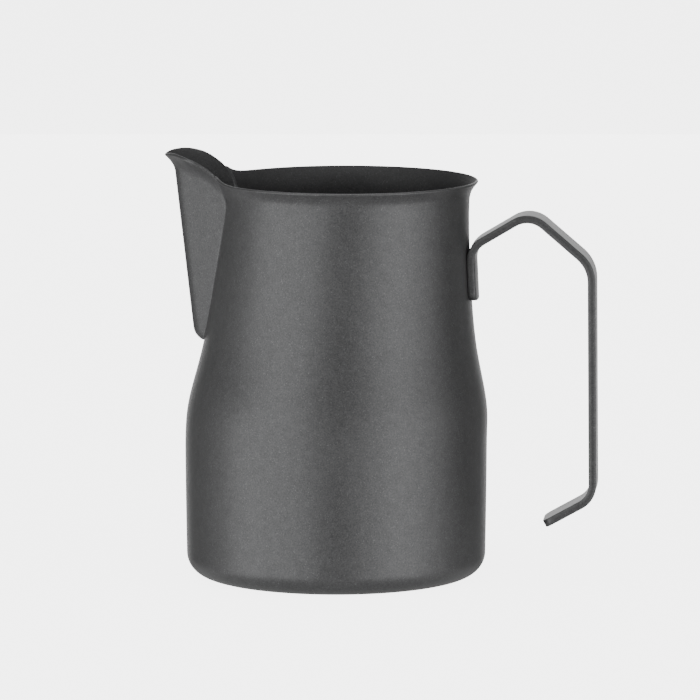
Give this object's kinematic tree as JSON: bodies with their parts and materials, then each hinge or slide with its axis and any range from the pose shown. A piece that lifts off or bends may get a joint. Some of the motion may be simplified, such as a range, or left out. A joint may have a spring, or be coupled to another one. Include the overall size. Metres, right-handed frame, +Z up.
{
  "type": "milk frothing pitcher",
  "caption": "Steel milk frothing pitcher with a waisted jug body, a welded V spout with a flared pouring lip, and an open-bottomed flat strap handle.",
  "frame": {"origin": "centre of the base's flat underside, on the axis of the lower body", "axes": "+Z up, +X towards the handle, -X towards the spout, +Y to the side"},
  "size_m": [0.1207, 0.084, 0.1181],
  "materials": {
    "coated_steel": "satin anthracite coating with a fine sparkle, inside and out",
    "coated_strap": "satin anthracite coating with a fine sparkle",
    "coated_weld": "dressed weld under the same anthracite coating"
  },
  "bodies": {
    "root": {"body_shell": "coated_steel", "spout": "coated_steel", "spout_seam_weld": "coated_weld", "handle_strap": "coated_strap", "handle_weld_lower": "coated_weld", "handle_weld_upper": "coated_weld"}
  },
  "joints": []
}
